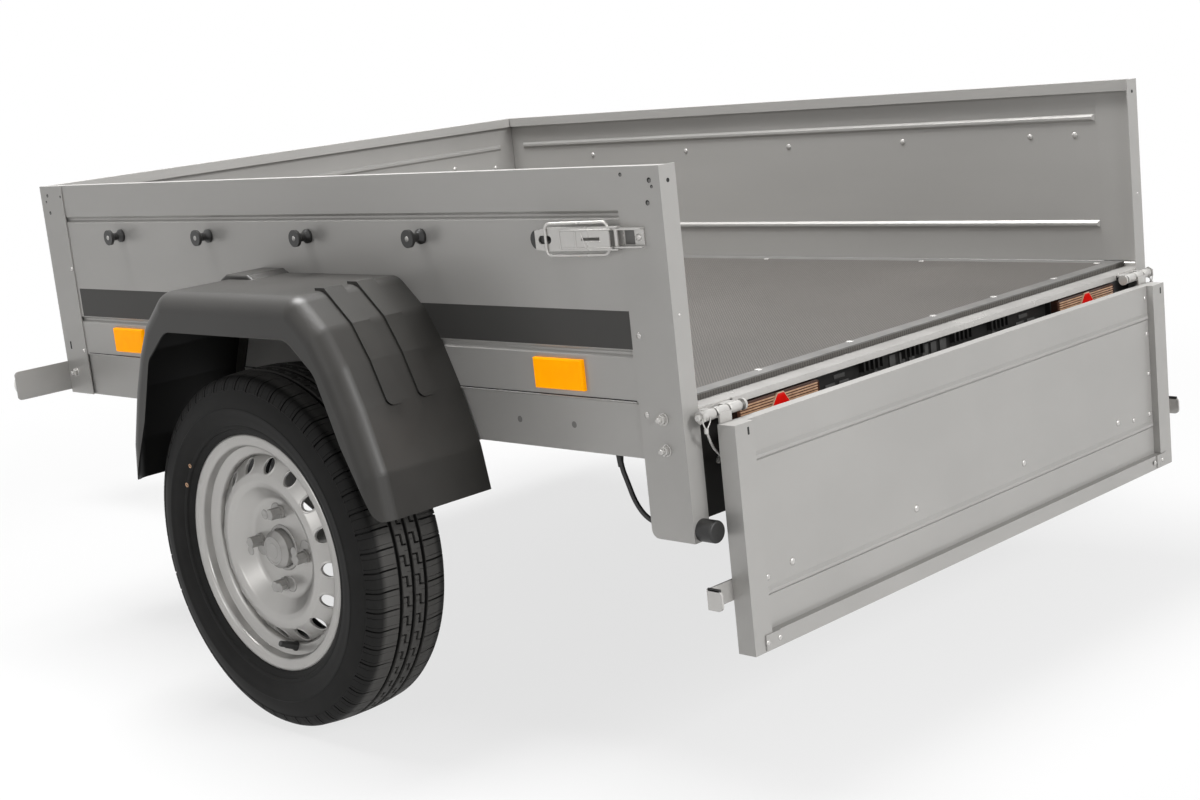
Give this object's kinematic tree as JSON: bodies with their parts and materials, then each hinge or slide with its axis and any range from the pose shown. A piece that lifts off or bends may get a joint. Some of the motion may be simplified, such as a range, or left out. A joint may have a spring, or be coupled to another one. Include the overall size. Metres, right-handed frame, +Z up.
{
  "type": "single-axle box trailer",
  "caption": "Small unbraked box trailer: profiled sheet sides, plywood floor, hanging tailgate, torsion axle, plastic mudguards, straight drawbar, coupling and jockey wheel.",
  "frame": {"origin": "on the ground under the middle of the overall length and width", "axes": "+X forward to the coupling, +Y to the left side, +Z up"},
  "size_m": [2.4944, 1.556, 0.815],
  "materials": {
    "amber_lens": "gloss",
    "black_plastic": "satin",
    "black_rubber_cable": "matte",
    "bright_zinc": "satin",
    "grey_trim": "satin",
    "plywood": "matte",
    "red_lens": "gloss",
    "rubber": "matte",
    "silver_paint": "satin",
    "tyre": "matte",
    "white_lens": "gloss",
    "zinc_sheet": "satin"
  },
  "bodies": {
    "chassis": {"axle_beam": "zinc_sheet", "buffers": "rubber", "coupling": "bright_zinc", "cross_members": "zinc_sheet", "drawbar": "zinc_sheet", "floor": "plywood", "floor_trims": "grey_trim", "front_brackets": "zinc_sheet", "front_lamps": "white_lens", "front_post_left": "zinc_sheet", "front_post_right": "zinc_sheet", "front_wall": "zinc_sheet", "hinges_fixed": "bright_zinc", "jack_crank": "bright_zinc", "jack_tube": "bright_zinc", "knobs_front": "black_plastic", "knobs_left": "black_plastic", "knobs_right": "black_plastic", "lamp_bodies": "black_plastic", "lamp_cable": "black_rubber_cable", "lamp_lenses": "red_lens", "latch_left": "bright_zinc", "latch_right": "bright_zinc", "light_board": "black_plastic", "long_members": "zinc_sheet", "mudguard_left": "black_plastic", "mudguard_right": "black_plastic", "rear_post_left": "zinc_sheet", "rear_post_right": "zinc_sheet", "rear_sill": "bright_zinc", "side_reflectors": "amber_lens", "side_wall_left": "zinc_sheet", "side_wall_right": "zinc_sheet", "swing_arm_left": "zinc_sheet", "swing_arm_right": "zinc_sheet"},
    "wheel_left": {"hub_left": "zinc_sheet", "rim_left": "silver_paint", "tyre_left": "tyre"},
    "wheel_right": {"hub_right": "zinc_sheet", "rim_right": "silver_paint", "tyre_right": "tyre"},
    "tailgate": {"gate_panel": "zinc_sheet", "gate_stile_left": "zinc_sheet", "gate_stile_right": "zinc_sheet", "gate_hooks": "bright_zinc", "hinges_gate": "bright_zinc", "knobs_gate": "black_plastic"},
    "jack_slider": {"jack_leg": "bright_zinc"},
    "jack_caster": {"jack_fork": "bright_zinc"},
    "jack_roller": {"jack_rim": "silver_paint", "jack_tyre": "rubber"}
  },
  "joints": [
    {"name": "wheel_left_spin", "type": "hinge", "parent": "chassis", "child": "wheel_left", "pos_m": [-0.46975, 0.689, 0.2736], "axis": [0, 1, 0], "continuous": true},
    {"name": "wheel_right_spin", "type": "hinge", "parent": "chassis", "child": "wheel_right", "pos_m": [-0.46975, -0.689, 0.2736], "axis": [0, 1, 0], "continuous": true},
    {"name": "tailgate_hinge", "type": "hinge", "parent": "chassis", "child": "tailgate", "pos_m": [-1.20725, 0, 0.494], "axis": [0, 1, 0], "range_deg": [0, 180]},
    {"name": "jack_slide", "type": "slide", "parent": "chassis", "child": "jack_slider", "axis": [0, 0, 1], "range_m": [-0.06, 0.1]},
    {"name": "jack_swivel", "type": "hinge", "parent": "jack_slider", "child": "jack_caster", "pos_m": [0.81725, -0.07, 0.22], "axis": [0, 0, 1], "continuous": true},
    {"name": "jack_wheel_spin", "type": "hinge", "parent": "jack_caster", "child": "jack_roller", "pos_m": [0.77525, -0.07, 0.1], "axis": [0, 1, 0], "continuous": true}
  ]
}
